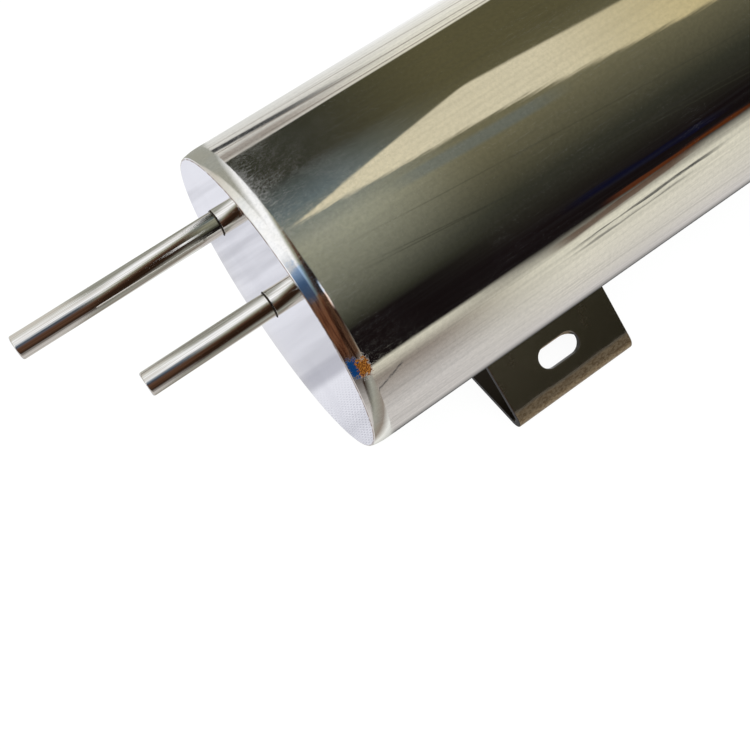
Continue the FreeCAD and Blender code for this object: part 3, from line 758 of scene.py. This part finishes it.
def make_discs(material, side_material, neck_axis):
    edge = 0.0003
    for name, node, face, sign in (("disc_with_tubes", "bottom_disc", DISC_X, 1),
                                   ("disc_with_neck", "top_disc", TOP_X, -1)):
        thick = high(node).x - low(node).x
        corner = [(0, crown(0) - edge * 1.15), (edge * 0.12, crown(0) - edge * 0.75),
                  (edge * 0.42, crown(0) - edge * 0.30), (edge, crown(edge) - 0.00001)]
        rest = [(thick * part, crown(thick * part)) for part in (0.4, 0.6, 0.8, 1.0)]
        outline = [(face + sign * depth, radius) for depth, radius in corner + rest]
        if name == "disc_with_tubes":
            holes = [(*TUBE_AXIS[which], SLEEVE_RADIUS + HOLE_PLAY) for which in TUBE_AXIS]
        else:
            holes = [(*neck_axis, NECK_RADIUS + HOLE_PLAY)]
        piece = plate(name, outline, AXIS, holes, material)
        piece.data.materials.append(side_material)
        for polygon in piece.data.polygons:
            radius = math.hypot(polygon.center.y - AXIS[0], polygon.center.z - AXIS[1])
            if radius > crown(edge) - edge and abs(polygon.normal.x) < 0.5:
                polygon.material_index = 1
        place_on(piece, "tank", "end_steel", node)


def make_rim_welds(material):
    inside, steps = BODY_RADIUS - 0.0009, 6
    for name in ("bottom_rim_weld", "top_rim_weld"):
        start, end = low(name).x, high(name).x
        places = [start + (end - start) * step / steps for step in range(steps + 1)]
        outline = [(x, crown(min(x - DISC_X, TOP_X - x))) for x in places]
        outline += [(end, inside), (start, inside)]
        place_on(lathe(name + "_dressed", outline, AXIS, material, 512),
                 "tank", "weld_bead", name)


TUBE_AXIS = {which: (middle(f"{which}_tube").y, middle(f"{which}_tube").z)
             for which in ("coolant", "overflow")}
TUBE_RADIUS, BORE_RADIUS = 0.003, 0.002
GRINDING = {"coolant": 1.0, "overflow": 0.2}
SLEEVE_RADIUS = 0.00325


def make_tubes(weld):
    for which, axis in TUBE_AXIS.items():
        tube, sleeve, bead = f"{which}_tube", f"{which}_tube_sleeve", f"{which}_tube_weld"
        start, end = low(tube).x, high(tube).x
        mouth = low(sleeve).x
        steel = drawn_tube(f"tube_steel_{which}", axis, mouth, GRINDING[which])
        outline = rounded([(start, TUBE_RADIUS, 0.0005), (start, BORE_RADIUS, 0.0003),
                           (end, BORE_RADIUS, 0.0002), (end, TUBE_RADIUS, 0.0002)], 6)
        place_on(lathe(f"{which}_tube_drawn", outline, axis, steel, 96), "tank",
                 "tube_steel", tube)

        # the sleeve sits down on the tube at its mouth with a small rounded lip
        outline = rounded([(mouth, TUBE_RADIUS + 0.00003), (mouth, SLEEVE_RADIUS, 0.00012),
                           (high(sleeve).x, SLEEVE_RADIUS),
                           (high(sleeve).x, TUBE_RADIUS + 0.00003)], 4)
        place_on(lathe(f"{which}_sleeve_polished", outline, axis, steel, 96), "tank",
                 "tube_steel", sleeve)

        ticks = (0.4, 1.9, 2.35, 3.6, 5.1, 5.75) if which == "coolant" else (0.9, 2.1, 4.4, 5.6)

        def bead_shape(x, radius, turn, ticks=ticks):
            if radius < TUBE_RADIUS + 0.00005:
                return radius
            ripple = 0.00003 * math.sin(13 * turn) + 0.00002 * math.sin(29 * turn + 1.1)
            spike = sum(math.exp(-((turn - tick) / 0.055) ** 2) for tick in ticks)
            return radius + ripple + 0.00030 * spike

        foot, crest = low(bead).x, high(bead).x
        outline = [(crest - 0.00002, TUBE_RADIUS - 0.00005), (foot, TUBE_RADIUS - 0.00005),
                   (crest - 0.00036, TUBE_RADIUS + 0.00002),
                   (crest - 0.00030, TUBE_RADIUS + 0.00010),
                   (crest - 0.00016, TUBE_RADIUS + 0.00014),
                   (crest - 0.00002, TUBE_RADIUS + 0.00012)]
        place_on(lathe(f"{which}_tube_bead", outline, axis, weld, 288, bead_shape, 60.0),
                 "tank", "weld_bead", bead)


# ---- brackets ---------------------------------------------------------------------------------

FOLD_ANGLE = math.radians(42.6)
SHEET = 0.002
FOLD_MIDDLE_RADIUS = 0.0026
FACE_OFFSET = 0.0021                 # face leg's middle from the tank's radial line
FACE_SLOT = (0.0542, 0.014, 0.007)   # distance down the leg, length, width
WALL_SLOT = (0.0, 0.025, 0.009)      # distance from the origin across the wall, length, width


def leg_place(distance, offset):
    """(y, z) of a point of the face leg's section."""
    return (AXIS[0] - distance * math.cos(FOLD_ANGLE) - offset * math.sin(FOLD_ANGLE),
            AXIS[1] - distance * math.sin(FOLD_ANGLE) + offset * math.cos(FOLD_ANGLE))


def slot_half(length, width, side, steps=14):
    """Half a round-ended slot as (across, down) points, from its top middle to its bottom."""
    straight = (length - width) / 2
    arc = [(straight + width / 2 * math.sin(math.pi * step / steps),
            width / 2 * math.cos(math.pi * step / steps)) for step in range(steps + 1)]
    points = [(0.0, width / 2)] + arc + [(0.0, -width / 2)]
    return [(side * across, down) for across, down in points]


def make_bracket(name, node, material):
    """A strip bent to an acute angle, thickened from its middle surface, edges just broken."""
    bm = bmesh.new()
    left, right = low(node).x, high(node).x
    centre = (left + right) / 2
    end_y = high(node).y
    wall_z = WALL_Z + SHEET / 2
    fold_z = wall_z + FOLD_MIDDLE_RADIUS
    fold_offset = FACE_OFFSET - FOLD_MIDDLE_RADIUS
    distance = (fold_offset * math.cos(FOLD_ANGLE) - (fold_z - AXIS[1])) / math.sin(FOLD_ANGLE)
    fold_y = leg_place(distance, fold_offset)[0]

    def wall_point(across, y):
        return bm.verts.new((centre + across, y, wall_z))

    def face_point(across, down):
        y, z = leg_place(down, FACE_OFFSET)
        return bm.verts.new((centre + across, y, z))

    half = (right - left) / 2
    for side in (-1, 1):
        # wall leg: from its free end to the fold, round half of its slot
        hole = slot_half(WALL_SLOT[1], WALL_SLOT[2], side)
        bm.faces.new([wall_point(0, end_y)]
                     + [wall_point(across, WALL_SLOT[0] + down) for across, down in hole]
                     + [wall_point(0, fold_y), wall_point(side * half, fold_y),
                        wall_point(side * half, end_y)])
        # face leg: from the shell to the fold, round half of its slot
        shell_end = BODY_RADIUS + 0.0001
        hole = slot_half(FACE_SLOT[1], FACE_SLOT[2], side)
        bm.faces.new([face_point(0, shell_end)]
                     + [face_point(across, FACE_SLOT[0] - down) for across, down in hole]
                     + [face_point(0, distance), face_point(side * half, distance),
                        face_point(side * half, shell_end)])
    # the fold
    steps = 20
    sweep = math.pi - FOLD_ANGLE
    rows = []
    for step in range(steps + 1):
        turn = -math.pi / 2 - sweep * step / steps
        y = fold_y + FOLD_MIDDLE_RADIUS * math.cos(turn)
        z = fold_z + FOLD_MIDDLE_RADIUS * math.sin(turn)
        rows.append([bm.verts.new((centre + across, y, z)) for across in (-half, 0, half)])
    for first, second in zip(rows, rows[1:]):
        for column in range(2):
            bm.faces.new([first[column], first[column + 1], second[column + 1],
                          second[column]])
    piece = finish_mesh(name, bm, material, 35.0)
    solid = piece.modifiers.new("sheet", "SOLIDIFY")
    solid.thickness, solid.offset = SHEET, 0.0
    solid.use_even_offset = True
    edges = piece.modifiers.new("broken_edges", "BEVEL")
    edges.width, edges.segments = 0.00022, 3
    edges.limit_method, edges.angle_limit = "ANGLE", math.radians(50)
    edges.harden_normals = True
    piece.visible_glossy = False
    place_on(piece, "tank", "bracket_steel", node)


def bead_line(bm, start_x, end_x, section, ripple_seed, rings=150):
    """A weld bead along X over a section of (y, z) points, rippled like laid metal."""
    middle_y = sum(point[0] for point in section) / len(section)
    middle_z = sum(point[1] for point in section) / len(section)
    loops = []
    for step in range(rings + 1):
        x = start_x + (end_x - start_x) * step / rings
        taper = min(step, rings - step) / 6
        taper = math.sqrt(min(taper, 1.0)) * 0.9 + 0.1
        ripple = 1 + 0.07 * math.sin(x * 5200 + ripple_seed) + 0.04 * math.sin(
            x * 1900 + 2 * ripple_seed)
        size = taper * ripple
        loops.append([bm.verts.new((x, middle_y + (y - middle_y) * size,
                                    middle_z + (z - middle_z) * size)) for y, z in section])
    for first, second in zip(loops, loops[1:]):
        bridge(bm, first, second)
    bm.faces.new(loops[0])
    bm.faces.new(loops[-1])


def make_bracket_beads(name, node, material):
    """Three beads, one in the face leg's corner and two on the wall leg."""
    bm = bmesh.new()
    start, end = low(node).x + 0.0004, high(node).x - 0.0004
    leg, radius = 0.0018, BODY_RADIUS + 0.00002

    def on_shell(offset):
        return math.sqrt(radius ** 2 - offset ** 2)

    def rise(points):
        """Adds a bulged point between the second and third."""
        (y0, z0), (y1, z1), (y2, z2) = points
        return [(y0, z0), (y1, z1), ((y1 + y2) / 2 * 0.86 + y0 * 0.14,
                                     (z1 + z2) / 2 * 0.86 + z0 * 0.14), (y2, z2)]

    below = 0.00106                     # the face leg's inner side
    sections = [
        rise([leg_place(on_shell(below), below), leg_place(on_shell(below) + leg, below),
              leg_place(on_shell(below - leg), below - leg)]),
    ]
    for side in (1, -1):
        near, far = 0.00804, 0.0098
        base = AXIS[1] - BODY_RADIUS
        foot = base - 0.0009 if side > 0 else base + 0.00003
        sections.append([
            (AXIS[0] + side * near, foot),
            (AXIS[0] + side * far, (foot + base + 0.0009) / 2 if side > 0 else foot),
            (AXIS[0] + side * far, AXIS[1] - on_shell(far) - 0.00003),
            (AXIS[0] + side * near, AXIS[1] - on_shell(near) - 0.00003)])
    for index, section in enumerate(sections):
        bead_line(bm, start, end, section, 1.7 * index)
    place_on(finish_mesh(name, bm, material, 50.0), "tank", "weld_bead", node)


# ---- neck and cap -----------------------------------------------------------------------------

PITCH = 0.003


def make_neck(steel, weld):
    axis = (middle("filler_neck").y, middle("filler_neck").z)
    start, end = low("filler_neck").x, high("filler_neck").x
    outer = (high("filler_neck").z - low("filler_neck").z) / 2
    bore = 0.0125
    thread_start, thread_end = TOP_X + 0.0045, end - 0.0007

    def thread(x, radius, turn):
        """A rolled helical thread between its two ends, fading out at each."""
        if radius < outer - 0.0006:
            return radius
        phase = ((x - thread_start) / PITCH - turn / TAU) % 1.0
        crest = 0.5 + 0.5 * math.cos(TAU * phase)
        fade = min(max((x - thread_start) / 0.0015, 0), 1) * min(
            max((thread_end - x) / 0.0006, 0), 1)
        return radius - 0.00055 * (1 - crest ** 0.8) * fade

    steps = 120
    outside = [(start, outer - 0.0002), (start + 0.0002, outer), (TOP_X + 0.003, outer)]
    outside += [(TOP_X + 0.004 + (end - 0.0004 - TOP_X - 0.004) * step / steps, outer)
                for step in range(steps + 1)]
    outside += [(end - 0.0001, outer - 0.0003), (end, outer - 0.0006)]
    inside = [(end, bore + 0.0005), (end - 0.0004, bore + 0.0001), (end - 0.0006, bore),
              (start + 0.0002, bore), (start, bore + 0.0002)]
    place_on(lathe("neck_threaded", outside + inside, axis, steel, 240, thread, 40.0),
             "tank", "neck_steel", "filler_neck")

    def ripple(x, radius, turn):
        rest = outer + 0.00003
        if radius <= rest:
            return radius
        return rest + (radius - rest) * (1 + 0.06 * math.sin(46 * turn)
                                         + 0.04 * math.sin(17 * turn + 0.6))

    foot = low("neck_weld").x
    leg = high("neck_weld").x - foot
    outline = [(foot + 0.00001, outer + 0.00003), (foot + 0.00001, outer + leg * 0.93)]
    for step in range(1, 7):
        part = step / 7
        bulge = 0.16 * math.sin(math.pi * part)
        outline.append((foot + leg * (part * 0.95 - 0.05 + bulge * 0.6) + 0.00006,
                        outer + leg * (0.93 * (1 - part) + bulge * 0.5)))
    outline.append((foot + leg * 0.97, outer + 0.00003))
    place_on(lathe("neck_bead", outline, axis, weld, 460, ripple, 60.0),
             "tank", "weld_bead", "neck_weld")


FLUTES, FLUTE_DEPTH = 24, 0.00055


def make_cap(steel):
    axis = (middle("cap_liner").y, middle("cap_liner").z)
    start, end = low("cap_shell").x, high("cap_shell").x
    outer, inner = 0.0185, 0.01525
    ceiling = high("cap_liner").x + 0.00005
    hole = 0.00202

    def flute(x, radius, turn):
        """Half-round grooves on the skirt, running out before the top's rounded edge."""
        if radius < outer - 0.0016:
            return radius
        place = (turn / TAU * FLUTES) % 1.0 - 0.5
        across = place * TAU / FLUTES * outer
        dip = max(FLUTE_DEPTH - across ** 2 / (2 * 0.0013) * 1.15, 0.0)
        share = max(0.0, 1 - max(radius - outer + 0.0016, 0) / 0.0016) if radius < outer else 0
        return radius - dip * (1 - share)

    corners = [(start, inner, 0.00025), (start, outer, 0.0004), (end, outer, 0.0011),
               (end, hole, 0.0), (ceiling, hole, 0.0), (ceiling, inner, 0.0004)]
    outline = rounded(corners, 7)
    steps = []
    for first, second in zip(outline, outline[1:] + outline[:1]):
        steps.append(first)
        length = math.dist(first, second)
        if length > 0.004:
            parts = int(length / 0.0015)
            steps += [(first[0] + (second[0] - first[0]) * part / parts,
                       first[1] + (second[1] - first[1]) * part / parts)
                      for part in range(1, parts)]
    place_on(lathe("cap_fluted", steps, axis, steel, 576, flute, 35.0),
             "cap", "cap_steel", "cap_shell")

    # a domed rivet head outside, a flat one inside
    low_x, high_x = low("cap_rivet").x, high("cap_rivet").x
    shank, head = 0.002, 0.0045
    dome = [(high_x - 0.0009 * (1 - math.cos(angle)), head * math.sin(angle))
            for angle in (math.pi / 2 * step / 12 for step in range(13))]
    under_x = low("cap_liner").x - 0.00005
    outline = dome + [(high_x - 0.0009, shank), (under_x, shank), (under_x, head),
                      (low_x + 0.0004, head), (low_x + 0.0001, head - 0.0003),
                      (low_x, head - 0.0007), (low_x, 0.0)]
    place_on(lathe("cap_rivet_domed", outline, axis, steel, 96), "cap", "cap_steel",
             "cap_rivet")


# ---- put together -----------------------------------------------------------------------------

scene.view_settings.view_transform = "Standard"
make_world()
make_floor()
make_lights()
make_camera()

weld = weld_metal("weld_bead")
burnt_weld = weld_metal("weld_bead_burnt", 0.12)
bracket_steel = satin_bracket()
neck_axis = (middle("filler_neck").y, middle("filler_neck").z)
neck_steel = turned_steel("neck_steel", neck_axis, (0.80, 0.79, 0.77, 1), 0.16)
cap_steel = turned_steel("cap_steel", neck_axis, (0.88, 0.87, 0.85, 1), 0.07)
liner_steel = turned_steel("liner_steel", neck_axis, (0.74, 0.73, 0.71, 1), 0.22)

shell_steel = polished_shell()
make_shell(shell_steel)
make_discs(polished_disc(), shell_steel, neck_axis)
make_rim_welds(shell_steel)
make_tubes(burnt_weld)
for which in ("lower", "upper"):
    make_bracket(f"{which}_bracket_folded", f"{which}_bracket", bracket_steel)
    make_bracket_beads(f"{which}_bracket_beads", f"{which}_bracket_welds", weld)
make_neck(neck_steel, weld)
make_cap(cap_steel)

for node, material in (("seam_weld", weld), ("standpipe_clip", bracket_steel),
                       ("cap_liner", liner_steel), ("cap_gasket", black_rubber())):
    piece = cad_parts[node]
    piece.data.materials.clear()
    piece.data.materials.append(material)
